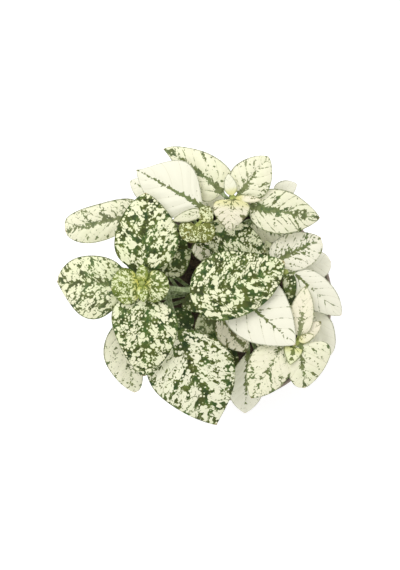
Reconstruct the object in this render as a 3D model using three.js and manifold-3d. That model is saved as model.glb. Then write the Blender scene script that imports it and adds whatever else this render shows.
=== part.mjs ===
// A polka dot plant in its pot: six leafy stems that stand in one root ball, in a small plastic pot.
// Millimetres, +Z up. The origin is the middle of the pot's flat underside, +X is the plant's right
// side and +Y its back. The plant leans to the left, towards the light.
import * as THREE from "three";
import { mergeVertices } from "three/addons/utils/BufferGeometryUtils.js";
import Module from "manifold-3d";

const wasm = await Module();
wasm.setup();

// ---- driving dimensions ----
const fitGap = 0.3; // between pieces that touch on the real plant

const potHeight = 90;
const potRimRadius = 54;
const potBaseRadius = 38;
const potWallTopRadius = 51.4; // outside, below the band
const potWall = 1.4;
const potFloor = 2;
const potEdgeBevel = 1.5; // round the foot, inside and outside
const potBandHeight = 11; // the stiffening band below the rim
const potBandFoot = potHeight - potBandHeight;
const potRimInnerRadius = potRimRadius - potWall - 0.6;
const potSides = 36;
const drainHoles = 6;
const drainHoleRadius = 4;
const drainCircleRadius = 22;

const soilLevel = 78; // of its top at the pot's wall
const soilMound = 4; // how much higher the soil is in the middle
const soilLump = 1.1;
const soilShoulder = 2.2; // how far the soil's upright side ends below its level
const soilEdgeStep = 0.5; // how far its top steps in from that side
const soilSides = 30;
const soilRings = 5;

const stemFootHeight = 58; // the lowest end of each stem, in the soil
const stemFootRadius = 2.1;
const stemHoleRadius = 2.6;
const stemTipRadius = 1.1;
const stemSteps = 9;
const stemRingAngles = [22.5, 67.5, 112.5, 157.5]; // degrees, of half the stem's eight edges
const stalkLeastRadius = 0.55;
const stalkPerWidth = 0.025; // what its radius gains with each millimetre of the leaf's width
const stalkEdge = 0.35; // a stalk's thickness at its sides, as a share of that in its middle

const bladeThickness = 0.8;
const ribThickness = 1.2;
const leafRise = 0.45; // how fast a blade widens from its stalk, as a power of its length
const leafFall = 0.75; // and how fast it narrows to its tip
const leafTipHalfWidth = 0.4; // as a share of the stalk's radius
const bladeRise = 0.26; // how the blade rises from its midrib, as a share of its half width
const bladeDroop = 0.34; // and how it droops again towards its edges
const bigLeafWidth = 12; // wider leaves get more points across and along
const bigLeaf = {
  across: [1, 0.5, 0, -0.5, -1],
  along: [0, 0.1, 0.3, 0.57, 0.84, 1],
  stalk: [0.5, 0],
};
const smallLeaf = {
  across: [1, 0, -1],
  along: [0, 0.2, 0.5, 0.8, 1],
  stalk: [0],
};

const mergeDistance = 1e-4; // of points that are one
const simplifyDistance = 0.004;

// ---- meshes and solids ----

// A closed manifold solid from a list of points and a list of triangles.
function solidFrom(points, triangles) {
  const vertProperties = new Float32Array(points.flatMap((p) => [p.x, p.y, p.z]));
  return new wasm.Manifold(
    new wasm.Mesh({ numProp: 3, vertProperties, triVerts: new Uint32Array(triangles) }),
  );
}

// A closed manifold solid from one of the three.js geometries.
function solidOf(geometry) {
  geometry.deleteAttribute("normal");
  geometry.deleteAttribute("uv");
  const merged = mergeVertices(geometry, mergeDistance);
  return new wasm.Manifold(
    new wasm.Mesh({
      numProp: 3,
      vertProperties: merged.attributes.position.array,
      triVerts: new Uint32Array(merged.index.array),
    }),
  );
}

// A named mesh from a solid, with its colour and finish.
function meshOf(name, solid, finish) {
  const skin = solid.simplify(simplifyDistance).getMesh();
  const geometry = new THREE.BufferGeometry();
  geometry.setAttribute("position", new THREE.BufferAttribute(skin.vertProperties, 3));
  geometry.setIndex(new THREE.BufferAttribute(skin.triVerts, 1));
  geometry.computeVertexNormals();
  const mesh = new THREE.Mesh(geometry, new THREE.MeshStandardMaterial(finish));
  mesh.name = name;
  return mesh;
}

// The closed skin between an upper and a lower sheet. Each sheet is a list of rows that run from
// left to right, and both are split into triangles alike.
function skinBetween(upper, lower) {
  const rows = upper.length;
  const across = upper[0].length;
  const top = (i, j) => i * across + j;
  const under = (i, j) => rows * across + i * across + j;
  const triangles = [];
  for (let i = 0; i < rows - 1; i++) {
    for (let j = 0; j < across - 1; j++) {
      triangles.push(top(i, j), top(i, j + 1), top(i + 1, j + 1));
      triangles.push(top(i, j), top(i + 1, j + 1), top(i + 1, j));
      triangles.push(under(i, j), under(i + 1, j + 1), under(i, j + 1));
      triangles.push(under(i, j), under(i + 1, j), under(i + 1, j + 1));
    }
    const right = across - 1;
    triangles.push(top(i, 0), top(i + 1, 0), under(i + 1, 0));
    triangles.push(top(i, 0), under(i + 1, 0), under(i, 0));
    triangles.push(top(i, right), under(i + 1, right), top(i + 1, right));
    triangles.push(top(i, right), under(i, right), under(i + 1, right));
  }
  for (let j = 0; j < across - 1; j++) {
    const end = rows - 1;
    triangles.push(top(0, j), under(0, j), under(0, j + 1));
    triangles.push(top(0, j), under(0, j + 1), top(0, j + 1));
    triangles.push(top(end, j), under(end, j + 1), under(end, j));
    triangles.push(top(end, j), top(end, j + 1), under(end, j + 1));
  }
  return solidFrom([...upper.flat(), ...lower.flat()], triangles);
}

// A solid turned about +Z from a profile of [radius, height] pairs, and an upright cylinder.
function turnedFrom(profile, sides) {
  const outline = profile.map(([radius, height]) => new THREE.Vector2(radius, height));
  return new THREE.LatheGeometry(outline, sides).rotateX(Math.PI / 2);
}

function uprightCylinder(radius, height, x, y, z) {
  const cylinder = new THREE.CylinderGeometry(radius, radius, height, 12);
  return solidOf(cylinder.rotateX(Math.PI / 2).translate(x, y, z));
}

const vec = (x, y, z) => new THREE.Vector3(x, y, z);
const up = vec(0, 0, 1);

// ---- pot ----
// A thin plastic pot with a stiff band round its rim and drainage holes round its floor's middle.
function makePot() {
  const profile = [
    [0, 0],
    [potBaseRadius - potEdgeBevel, 0],
    [potBaseRadius, potEdgeBevel],
    [potWallTopRadius, potBandFoot],
    [potRimRadius - 0.5, potBandFoot + 0.4],
    [potRimRadius, potBandFoot + 1.4],
    [potRimRadius, potHeight - 1],
    [potRimRadius - 0.7, potHeight],
    [potRimInnerRadius, potHeight],
    [potRimInnerRadius, potBandFoot + 2.2],
    [potWallTopRadius - potWall, potBandFoot - 0.4],
    [potBaseRadius - potWall, potFloor + potEdgeBevel],
    [potBaseRadius - potWall - potEdgeBevel, potFloor],
    [0, potFloor],
  ];
  let pot = solidOf(turnedFrom(profile, potSides));
  for (let i = 0; i < drainHoles; i++) {
    const angle = (2 * Math.PI * i) / drainHoles;
    const x = drainCircleRadius * Math.cos(angle);
    const y = drainCircleRadius * Math.sin(angle);
    pot = pot.subtract(uprightCylinder(drainHoleRadius, 4 * potFloor, x, y, 0));
  }
  return meshOf("pot", pot, { color: 0x84766b, roughness: 0.55, metalness: 0 });
}

// ---- soil ----
// The root ball fills the pot below the rim. Its top is lumpy and highest in the middle.
function soilHeight(x, y) {
  const mound = soilMound * (1 - (x * x + y * y) / potWallTopRadius ** 2);
  const lumps = Math.sin(0.31 * x + 1.3) * Math.cos(0.27 * y) + 0.6 * Math.sin(0.5 * x - 0.43 * y);
  return soilLevel + mound + soilLump * lumps;
}

function makeSoil(stems) {
  const bottom = potFloor + fitGap;
  const bevel = potEdgeBevel + 0.1;
  const floorRadius = potBaseRadius - potWall - fitGap;
  const shoulder = soilLevel - soilShoulder;
  const slope = (potWallTopRadius - potBaseRadius) / (potBandFoot - potEdgeBevel);
  const topRadius = floorRadius + slope * (shoulder - potFloor - potEdgeBevel) - 0.2;
  const profile = [
    [0, bottom],
    [floorRadius - bevel, bottom],
    [floorRadius, bottom + bevel],
    [topRadius, shoulder],
    [topRadius - soilEdgeStep, potHeight],
  ];
  for (let i = soilRings - 1; i >= 0; i--) profile.push([(topRadius * i) / soilRings, potHeight]);
  const turned = turnedFrom(profile, soilSides);
  const place = turned.attributes.position;
  for (let i = 0; i < place.count; i++) {
    const onTop = place.getZ(i) > potHeight - mergeDistance;
    if (onTop) place.setZ(i, soilHeight(place.getX(i), place.getY(i)));
  }
  let soil = solidOf(turned);
  const holeHeight = 2 * (soilLevel - stemFootHeight);
  for (const stem of stems) {
    const [x, y] = stem.foot;
    const middle = stemFootHeight - fitGap + holeHeight / 2;
    soil = soil.subtract(uprightCylinder(stemHoleRadius, holeHeight, x, y, middle));
  }
  return meshOf("soil", soil, { color: 0x2b2118, roughness: 0.95, metalness: 0 });
}

// ---- leaves ----

// How wide one side of a leaf is at a share t of its length. A side is its greatest width and its
// own rise and fall: round at the stalk, and drawn out to a point at the tip.
function sideWidth([widest, rise, fall], t) {
  const shape = (s) => s ** rise * (1 - s) ** fall;
  return (widest * shape(t)) / shape(rise / (rise + fall));
}

// A leaf's path: its stalk curves from the stem to the blade, and the midrib arches on to the tip.
function leafPath(leaf, root) {
  const bladeStart = vec(...leaf.from);
  const tip = vec(...leaf.to);
  const heading = tip.clone().sub(bladeStart).setZ(0).normalize();
  const left = vec(-heading.y, heading.x, 0);
  const middle = bladeStart.clone().lerp(tip, 0.5);
  middle.addScaledVector(up, 2 * (leaf.arch ?? 2)).addScaledVector(left, 2 * (leaf.sway ?? 0));
  const midrib = new THREE.QuadraticBezierCurve3(bladeStart, middle, tip);
  const span = root.distanceTo(bladeStart);
  const rise = bladeStart.clone().sub(root).normalize().addScaledVector(up, 0.5).normalize();
  const stalk = new THREE.CubicBezierCurve3(
    root,
    root.clone().addScaledVector(rise, 0.4 * span),
    bladeStart.clone().addScaledVector(midrib.getTangent(0), -0.3 * span),
    bladeStart,
  );
  return { stalk, midrib, left };
}

// The leaf as one solid. Across its width it rises from the midrib and droops again to its edges.
function leafSolid(leaf, root) {
  const { stalk, midrib, left } = leafPath(leaf, root);
  const form = leaf.wide > bigLeafWidth ? bigLeaf : smallLeaf;
  const plain = [leaf.wide / 2, leafRise, leafFall];
  const stalkRadius = stalkLeastRadius + stalkPerWidth * leaf.wide;
  const leastHalf = stalkRadius * leafTipHalfWidth;
  const rows = form.along.map((t) => {
    const along = midrib.getTangent(t);
    const side = left.clone().addScaledVector(along, -left.dot(along)).normalize();
    const leftHalf = Math.max(leastHalf, sideWidth(leaf.left ?? plain, t));
    const rightHalf = Math.max(leastHalf, sideWidth(leaf.right ?? plain, t));
    return { place: midrib.getPoint(t), along, side, leftHalf, rightHalf, blade: true };
  });
  for (const t of form.stalk) {
    const along = stalk.getTangent(t);
    const turn = new THREE.Quaternion().setFromUnitVectors(rows[0].along, along);
    const side = rows[0].side.clone().applyQuaternion(turn);
    const place = stalk.getPoint(t);
    rows.unshift({ place, along, side, leftHalf: stalkRadius, rightHalf: stalkRadius, blade: false });
  }
  const upper = [];
  const lower = [];
  for (const { place, along, side, leftHalf, rightHalf, blade } of rows) {
    const normal = along.clone().cross(side);
    const shifted = (v, sign) => {
      const half = v > 0 ? leftHalf : rightHalf;
      const lift = blade ? half * (bladeRise * Math.abs(v) - bladeDroop * v * v) : 0;
      const bladeHalf = (v === 0 ? ribThickness : bladeThickness) / 2;
      const stalkHalf = half * (1 - (1 - stalkEdge) * Math.abs(v));
      const off = lift + sign * (blade ? bladeHalf : stalkHalf);
      return place.clone().addScaledVector(side, v * half).addScaledVector(normal, off);
    };
    upper.push(form.across.map((v) => shifted(v, 1)));
    lower.push(form.across.map((v) => shifted(v, -1)));
  }
  return skinBetween(upper, lower);
}

// ---- leafy stems ----

// The stem's own curve: straight down into the soil, and above it leaning out and up to its tip.
function stemCurve(stem) {
  const [x, y] = stem.foot;
  const foot = vec(x, y, stemFootHeight);
  const collar = vec(x, y, soilHeight(x, y) + 2);
  const tip = vec(...stem.tip);
  const outward = tip.clone().sub(collar);
  const rise = outward.z;
  const path = new THREE.CurvePath();
  path.add(new THREE.LineCurve3(foot, collar));
  path.add(
    new THREE.CubicBezierCurve3(
      collar,
      collar.clone().addScaledVector(up, 0.12 * rise),
      tip.clone().addScaledVector(outward, -0.2).addScaledVector(up, -0.2 * rise),
      tip,
    ),
  );
  return path;
}

// A tapered eight-sided rod along the stem's curve.
function stemSolid(curve) {
  const angles = stemRingAngles.map(THREE.MathUtils.degToRad);
  const upper = [];
  const lower = [];
  for (let i = 0; i <= stemSteps; i++) {
    const t = i / stemSteps;
    const along = curve.getTangent(t);
    const side = vec(1, 0, 0).addScaledVector(along, -along.x).normalize();
    const front = along.clone().cross(side);
    const radius = THREE.MathUtils.lerp(stemFootRadius, stemTipRadius, t);
    const ring = (sign) =>
      angles.map((a) =>
        curve
          .getPoint(t)
          .addScaledVector(side, radius * Math.cos(a))
          .addScaledVector(front, sign * radius * Math.sin(a)),
      );
    upper.push(ring(1));
    lower.push(ring(-1));
  }
  return skinBetween(upper, lower);
}

// The place on the stem at a given height, where a stalk roots. It is found by halving.
function stemPlace(curve, height) {
  let low = 0;
  let high = 1;
  while (high - low > 1e-7) {
    const middle = (low + high) / 2;
    if (curve.getPoint(middle).z < height) low = middle;
    else high = middle;
  }
  return curve.getPoint(low);
}

function makeLeafyStem(stem) {
  const curve = stemCurve(stem);
  let solid = stemSolid(curve);
  for (const leaf of stem.leaves) {
    solid = solid.add(leafSolid(leaf, stemPlace(curve, leaf.at)));
  }
  return meshOf(stem.name, solid, { color: stem.color, roughness: 0.6, metalness: 0 });
}

// Each stem: where its foot stands, where its tip is, and its leaves from the top down. A leaf
// leaves the stem at the height "at", its blade runs "from" its stalk "to" its tip and is "wide"
// across. "arch" lifts the middle of its midrib and "sway" bends it to its left. "left" and
// "right" are the greatest width, rise and fall of a side that differs from the common form.
const stems = [
  {
    name: "leafy_stem_left",
    color: 0x8a9a62,
    foot: [-9, 1],
    tip: [-46, 9.5, 162],
    leaves: [
      { at: 161, from: [-46, 10, 161.5], to: [-45.5, 18.5, 163], wide: 6, arch: 1 },
      { at: 161, from: [-46, 8.5, 161.5], to: [-45, 0, 163], wide: 6, arch: 1 },
      { at: 158.5, from: [-47, 9, 160], to: [-61, 6.5, 160], wide: 18, arch: 1,
        left: [9, 0.4, 0.5], right: [9, 0.4, 0.5] },
      { at: 158.5, from: [-45, 8.5, 160], to: [-32.5, 7, 160], wide: 16, arch: 1,
        left: [8, 0.4, 0.5], right: [8, 0.4, 0.5] },
      { at: 154, from: [-43.5, 15.5, 158], to: [-44.5, 54, 153], wide: 31.5, arch: 2.5 },
      { at: 154, from: [-42.5, 1.5, 157], to: [-45.5, -37, 148], wide: 31, arch: 3,
        left: [15.1, 0.45, 0.75], right: [17.8, 0.2, 0.7] },
      { at: 146, from: [-53, 8.4, 150], to: [-89.5, 10, 140], wide: 32.5, arch: 3,
        left: [18, 0.85, 0.95], right: [14.2, 0.5, 0.5] },
      { at: 144, from: [-22.5, 6, 154.5], to: [24.5, 20, 150], wide: 34, arch: 2.5, sway: -3.5 },
      { at: 133, from: [-29, -12.5, 145], to: [-9, -63, 131], wide: 43.5, arch: 4,
        left: [20.4, 1, 1.1], right: [23.2, 0.45, 0.85] },
      { at: 131, from: [-36, 14, 136], to: [-22.5, 26, 133], wide: 13.5 },
      { at: 112, from: [-57, -9, 121], to: [-52.3, -48.7, 102], wide: 19, arch: 3,
        left: [6.5, 0.5, 0.4], right: [12.8, 0.7, 0.8] },
      { at: 112, from: [-49, 6, 118], to: [-79, 8, 106], wide: 22, arch: 3 },
      { at: 104, from: [-40, -6, 111], to: [-65, -22, 99], wide: 22 },
      { at: 102, from: [-38, 18, 110], to: [-61, 34, 99], wide: 22 },
      { at: 98, from: [-26, -12, 106], to: [-30, -38, 97], wide: 18 },
      { at: 122, from: [-40, -4, 130], to: [-61, -11, 121], wide: 17 },
      { at: 120, from: [-33, 13, 126], to: [-42, 35, 117], wide: 17 },
      { at: 114, from: [-25, -4, 119], to: [-32, -20, 111], wide: 14 },
    ],
  },
  {
    name: "leafy_stem_back",
    color: 0x93a070,
    foot: [-6, 12],
    tip: [-18.5, 38, 157],
    leaves: [
      { at: 156, from: [-16, 44.5, 158], to: [-31, 40, 158], wide: 6, arch: 1 },
      { at: 156, from: [-18, 37.5, 157], to: [-11.8, 30.5, 155.5], wide: 11, arch: 1,
        left: [5.5, 0.4, 0.5], right: [5.5, 0.4, 0.5] },
      { at: 156, from: [-19.5, 37.5, 157], to: [-26, 31, 156.5], wide: 12.5, arch: 1,
        left: [6.2, 0.4, 0.5], right: [6.2, 0.4, 0.5] },
      { at: 155, from: [-17, 40, 157.5], to: [-12.8, 47, 157.5], wide: 9.5, arch: 1 },
      { at: 151, from: [-15.5, 46.5, 155.5], to: [-49.5, 66.5, 141], wide: 28, arch: 2.5,
        left: [12.9, 0.7, 0.9], right: [15.3, 1.3, 1.4] },
      { at: 146, from: [-13.5, 36, 148], to: [15.5, 25.5, 141], wide: 21, arch: 2 },
      { at: 143, from: [-18, 31, 148], to: [-13.5, 19.5, 140], wide: 11 },
      { at: 126, from: [-48, 44.4, 136], to: [-87.5, 36.5, 118], wide: 19, arch: 4,
        left: [9.4, 0.6, 0.45], right: [9.8, 0.15, 0.22] },
      { at: 116, from: [-36, 53, 126], to: [-54, 62.5, 117], wide: 14.5 },
      { at: 117, from: [-12, 44, 127], to: [-19, 73, 113], wide: 20 },
      { at: 104, from: [-26, 48, 113], to: [-44, 60, 103], wide: 18 },
      { at: 97, from: [-24, 27, 104], to: [-48, 30, 95], wide: 18 },
    ],
  },
  {
    name: "leafy_stem_back_right",
    color: 0xb9bd92,
    foot: [2, 14],
    tip: [-1.3, 51.5, 159],
    leaves: [
      { at: 158, from: [-1.8, 52.5, 159], to: [-3.8, 63, 160], wide: 6.5, arch: 0.5 },
      { at: 158, from: [0, 51, 159], to: [13, 50, 159.5], wide: 4, arch: 0.5 },
      { at: 156, from: [-2, 50.3, 160], to: [-3, 35, 154], wide: 18.5, arch: 1.5,
        left: [9.2, 0.3, 0.85], right: [9.2, 0.3, 0.85] },
      { at: 150, from: [-6.5, 54, 150], to: [-36, 77, 138], wide: 21.5, arch: 2, sway: -1.5,
        left: [10.3, 0.3, 1.1], right: [11.3, 0.2, 0.65] },
      { at: 153, from: [1.7, 53, 157], to: [16.5, 72, 152], wide: 20.5, arch: 1.5 },
      { at: 149, from: [7, 47, 154], to: [42.5, 42, 144], wide: 22.5, arch: 2.5,
        left: [11, 0.45, 0.8] },
      { at: 128, from: [20.5, 54.5, 136], to: [32.2, 60.2, 128], wide: 9.5 },
      { at: 114, from: [16, 44, 123], to: [40, 41, 113], wide: 19 },
      { at: 110, from: [1, 58, 118], to: [15, 68, 108], wide: 16 },
      { at: 99, from: [10, 42, 108], to: [27, 55, 98], wide: 17 },
      { at: 122, from: [9, 41, 131], to: [26, 33, 122], wide: 16 },
    ],
  },
  {
    name: "leafy_stem_right",
    color: 0xa9b18a,
    foot: [12, 6],
    tip: [25.5, 15, 145],
    leaves: [
      { at: 144, from: [26.5, 14.5, 144.5], to: [29, 1, 139], wide: 7, arch: 1 },
      { at: 140, from: [18.5, 19, 143], to: [43.5, 32.5, 137], wide: 20, arch: 2,
        right: [10, 0.45, 0.4] },
      { at: 140, from: [30, 14, 141], to: [54.5, -7, 132], wide: 18.5, arch: 2,
        left: [8.8, 0.5, 0.7], right: [8.5, 0.45, 0.75] },
      { at: 134, from: [20.5, 19, 136], to: [16, 31, 136], wide: 8 },
      { at: 122, from: [29.5, 15, 130], to: [50.2, 20.5, 121], wide: 16,
        left: [8.2, 0.5, 0.45], right: [8, 0.5, 0.5] },
      { at: 111, from: [27, 22, 118], to: [44, 31, 109], wide: 18 },
      { at: 106, from: [24, 0, 114], to: [44, 2, 104], wide: 18 },
    ],
  },
  {
    name: "leafy_stem_front_right",
    color: 0xb7bd8f,
    foot: [12, -8],
    tip: [31, -20.5, 146],
    leaves: [
      { at: 144, from: [29.5, -22.5, 145.5], to: [27.5, -31.5, 146], wide: 9.5, arch: 0.5,
        left: [4.8, 0.15, 0.8], right: [4.8, 0.15, 0.8] },
      { at: 145, from: [32, -19.5, 146.5], to: [39.5, -16.5, 147], wide: 5, arch: 0.5 },
      { at: 144, from: [33, -18.5, 144], to: [43.5, -10, 141], wide: 8, arch: 1 },
      { at: 143, from: [32, -17, 145], to: [35.5, 8, 144.5], wide: 12.5, arch: 0.5 },
      { at: 141, from: [32.5, -20.6, 145], to: [35.5, -43.7, 137], wide: 23, arch: 2,
        left: [15, 0.2, 0.7], right: [8, 0.4, 0.4] },
      { at: 140, from: [23.5, -22, 143], to: [8.5, -49, 135], wide: 22, arch: 2.5 },
      { at: 120, from: [40, -5.5, 131], to: [49.6, -28.3, 121], wide: 15, arch: 2,
        left: [7.4, 0.45, 0.6], right: [8, 0.45, 0.75] },
      { at: 108, from: [30, -28, 116], to: [38, -42, 105], wide: 18 },
      { at: 100, from: [34, -10, 105], to: [50, -6, 95], wide: 17 },
      { at: 116, from: [22, -26, 121], to: [22, -41, 111], wide: 14 },
      { at: 117, from: [32, -21, 123], to: [48, -27, 112], wide: 15 },
    ],
  },
  {
    name: "leafy_stem_centre",
    color: 0xb3b998,
    foot: [2, 0],
    tip: [-3, 6, 143],
    leaves: [
      { at: 142, from: [-4.5, 8, 143.5], to: [-11, 13, 144], wide: 7, arch: 0.5 },
      { at: 142, from: [-2, 8, 143.5], to: [3.5, 15, 144], wide: 7, arch: 0.5 },
      { at: 139, from: [-1.5, 6, 144.5], to: [30, -21.5, 148.5], wide: 33, arch: 1.5,
        left: [17.3, 0.45, 0.9], right: [15.7, 0.45, 0.9] },
      { at: 130, from: [-6.5, -7.5, 133], to: [6.5, -26, 126], wide: 16.5 },
      { at: 128, from: [-9, -8, 130], to: [-20, -15, 125], wide: 12.5 },
      { at: 122, from: [-12, 3, 127], to: [-27, -3, 121], wide: 13 },
      { at: 122, from: [14, -14.5, 130], to: [16, -27, 124], wide: 9 },
      { at: 108, from: [7.5, -25.5, 122], to: [6.3, -59.5, 104], wide: 18, arch: 3,
        left: [8.8, 1.1, 0.8], right: [9.6, 1.1, 0.8] },
      { at: 103, from: [-4, -22, 111], to: [-14, -47, 99], wide: 21 },
      { at: 99, from: [12, -26, 108], to: [20, -44, 98], wide: 17 },
      { at: 112, from: [7, 9, 119], to: [10.5, 24, 112], wide: 10 },
      { at: 110, from: [-8, -12, 120], to: [-20, -27, 112], wide: 14 },
    ],
  },
];

const plant = new THREE.Group();
plant.add(makePot());
plant.add(makeSoil(stems));
for (const stem of stems) plant.add(makeLeafyStem(stem));

export default plant;
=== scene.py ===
# A polka dot plant in its pot, seen from straight above. Six leafy stems stand in one root ball in
# a small plastic pot. The file follows the plant as it is put together: pot, soil, stems, leaves.
import bpy
import math
import numpy as np
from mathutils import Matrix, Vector


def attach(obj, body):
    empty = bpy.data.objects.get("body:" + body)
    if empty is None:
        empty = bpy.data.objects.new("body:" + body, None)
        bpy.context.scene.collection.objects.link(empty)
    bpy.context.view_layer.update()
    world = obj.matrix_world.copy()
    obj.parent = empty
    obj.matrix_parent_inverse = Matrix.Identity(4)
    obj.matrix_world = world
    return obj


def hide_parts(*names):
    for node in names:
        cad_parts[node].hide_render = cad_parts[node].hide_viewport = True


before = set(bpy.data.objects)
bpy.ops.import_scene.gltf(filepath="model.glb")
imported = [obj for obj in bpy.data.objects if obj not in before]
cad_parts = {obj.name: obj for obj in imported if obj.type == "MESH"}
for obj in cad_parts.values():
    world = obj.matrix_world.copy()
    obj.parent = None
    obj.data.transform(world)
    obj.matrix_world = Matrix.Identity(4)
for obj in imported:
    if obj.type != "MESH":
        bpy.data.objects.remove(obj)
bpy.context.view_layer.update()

# ---- pot ----
# A thin nursery pot of grey-brown plastic, injection moulded, with a stiff band round its rim, a
# flat floor with six drainage holes and a fine satin grain outside.
MM = 0.001
POT_HEIGHT = 90
POT_RIM = 54
POT_BASE = 38
POT_WALL_TOP = 51.4
POT_WALL = 1.4
POT_BAND_FOOT = 79
POT_FLOOR = 2
DRAIN_RADIUS = 4
DRAIN_CIRCLE = 22
DRAIN_HOLES = 6
DRILL_ENDS = (-3, 5)
DRILL_SIDES = 32
POT_SIDES = 144
POT_ROUNDING = 0.5
ARC_STEPS = 3
POT_BROWN = (0.225, 0.175, 0.137, 1)
POT_BROWN_WORN = (0.335, 0.28, 0.228, 1)
DRIED_SOIL = (0.09, 0.066, 0.048, 1)
POT_GRAIN_DEPTH = 0.00012


def mesh_piece(name, points, faces, material=None):
    """A mesh object from points in millimetres, shaded smooth."""
    mesh = bpy.data.meshes.new(name)
    mesh.from_pydata([tuple(p) for p in np.asarray(points) * MM], [], faces)
    if material:
        mesh.materials.append(material)
    mesh.polygons.foreach_set("use_smooth", [True] * len(mesh.polygons))
    mesh.update()
    piece = bpy.data.objects.new(name, mesh)
    bpy.context.scene.collection.objects.link(piece)
    return piece


def turned_rings(profile, sides):
    """Points and faces of a profile of (radius, height) pairs turned about the upright axis."""
    angles = np.arange(sides) * 2 * math.pi / sides
    points, faces, rings = [], [], []
    for radius, height in profile:
        start = len(points)
        if radius == 0:
            points.append((0, 0, height))
            rings.append([start] * sides)
        else:
            points += [(radius * math.cos(a), radius * math.sin(a), height) for a in angles]
            rings.append([start + j for j in range(sides)])
    for low, high in zip(rings, rings[1:]):
        for j in range(sides):
            k = (j + 1) % sides
            corners = [low[j], low[k], high[k], high[j]]
            faces.append(list(dict.fromkeys(corners)))
    return points, faces


def rounded(profile, radius):
    """The profile with its inner corners rounded by short arcs."""
    out = [profile[0]]
    for before, corner, after in zip(profile, profile[1:], profile[2:]):
        c = Vector(corner)
        a, b = Vector(before) - c, Vector(after) - c
        cut = min(radius, a.length * 0.45, b.length * 0.45)
        start, end = c + a.normalized() * cut, c + b.normalized() * cut
        for i in range(ARC_STEPS + 1):
            t = i / ARC_STEPS
            out.append(tuple((1 - t) ** 2 * start + 2 * t * (1 - t) * c + t * t * end))
    out.append(profile[-1])
    return out


class Graph:
    """A node tree that grows. Each method adds a node and gives the node or its result."""

    def __init__(self, tree):
        self.nodes, self.links = tree.nodes, tree.links

    def feed(self, value, socket):
        """Links an output to the socket, or sets the socket to a plain value."""
        if isinstance(value, bpy.types.NodeSocket):
            self.links.new(value, socket)
        else:
            socket.default_value = value

    def dress(self, node, **values):
        """Feeds several inputs of a node, named with underscores for spaces."""
        for key, value in values.items():
            self.feed(value, node.inputs[key.replace("_", " ")])

    def add(self, kind, **values):
        """A node. A value named in_... goes to that input, and any other sets a property."""
        node = self.nodes.new("ShaderNode" + kind)
        for key, value in values.items():
            if key.startswith("in_"):
                self.dress(node, **{key[3:]: value})
            else:
                setattr(node, key, value)
        return node

    def maths(self, operation, *terms, clamp=False):
        node = self.add("Math", operation=operation, use_clamp=clamp)
        for term, socket in zip(terms, node.inputs):
            self.feed(term, socket)
        return node.outputs[0]

    def plus(self, a, b):
        return self.maths("ADD", a, b)

    def minus(self, a, b):
        return self.maths("SUBTRACT", a, b)

    def times(self, a, b):
        return self.maths("MULTIPLY", a, b)

    def scaled(self, value, factor, start, clamp=False):
        """value * factor + start"""
        return self.maths("MULTIPLY_ADD", value, factor, start, clamp=clamp)

    def noise(self, place, scale, detail, roughness=0.5, output="Fac"):
        """A fractal noise whose values keep near 0.5."""
        node = self.add("TexNoise", in_Vector=place, in_Scale=scale, in_Detail=detail,
                        in_Roughness=roughness)
        return node.outputs[output]

    def ramp(self, value, stops):
        """A colour ramp over a value, from a list of (place, colour)."""
        node = self.add("ValToRGB", in_Fac=value)
        elements = node.color_ramp.elements
        while len(elements) < len(stops):
            elements.new(0.5)
        for element, (place, colour) in zip(elements, stops):
            element.position = place
            element.color = colour
        return node.outputs["Color"]

    def mixed(self, share, one, other):
        """The first colour, with a share of the other mixed in."""
        node = self.add("Mix", data_type="RGBA")
        for value, number in ((share, 0), (one, 6), (other, 7)):
            self.feed(value, node.inputs[number])
        return node.outputs[2]

    def bump(self, height, strength, depth):
        """A normal that shows the height as a relief of that depth in metres."""
        node = self.add("Bump", in_Strength=strength, in_Distance=depth, in_Height=height)
        return node.outputs[0]


def new_material(name):
    """A node material; gives it, the graph of its nodes and its Principled shader."""
    material = bpy.data.materials.new(name)
    material.use_nodes = True
    tree = material.node_tree
    return material, Graph(tree), tree.nodes["Principled BSDF"]


def plastic_material():
    material, graph, shader = new_material("pot_plastic")
    place = graph.add("TexCoord").outputs["Object"]
    cloud = graph.noise(place, 38, 4, 0.6)
    grain = graph.noise(place, 2600, 2)
    dust = graph.noise(place, 140, 6, 0.7)
    height = graph.add("SeparateXYZ", in_Vector=place).outputs["Z"]
    # splashed soil has dried on the lower wall
    soiled = graph.times(graph.scaled(height, -14, 0.95, clamp=True), dust)
    base = graph.ramp(cloud, [(0.3, POT_BROWN), (0.75, POT_BROWN_WORN)])
    graph.dress(shader, Base_Color=graph.mixed(graph.times(soiled, 0.9), base, DRIED_SOIL),
                Roughness=graph.scaled(dust, 0.3, 0.38),
                Normal=graph.bump(grain, 0.25, POT_GRAIN_DEPTH))
    return material


def drill_floor(piece):
    """Cuts the drainage holes with upright drills and puts the result in the piece's mesh."""
    points, faces = [], []
    foot, top = DRILL_ENDS
    rod = [(0, foot), (DRAIN_RADIUS, foot), (DRAIN_RADIUS, top), (0, top)]
    rings, sides = turned_rings(rod, DRILL_SIDES)
    for i in range(DRAIN_HOLES):
        turn = 2 * math.pi * i / DRAIN_HOLES
        start = len(points)
        off = (DRAIN_CIRCLE * math.cos(turn), DRAIN_CIRCLE * math.sin(turn), 0)
        points += [tuple(np.add(p, off)) for p in rings]
        faces += [[start + c for c in corners] for corners in sides]
    drill = mesh_piece("drill", points, faces)
    cut = piece.modifiers.new("holes", "BOOLEAN")
    cut.operation = "DIFFERENCE"
    cut.object = drill
    cut.solver = "EXACT"
    depsgraph = bpy.context.evaluated_depsgraph_get()
    drilled = bpy.data.meshes.new_from_object(piece.evaluated_get(depsgraph))
    piece.modifiers.clear()
    piece.data = drilled
    bpy.data.objects.remove(drill)


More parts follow.
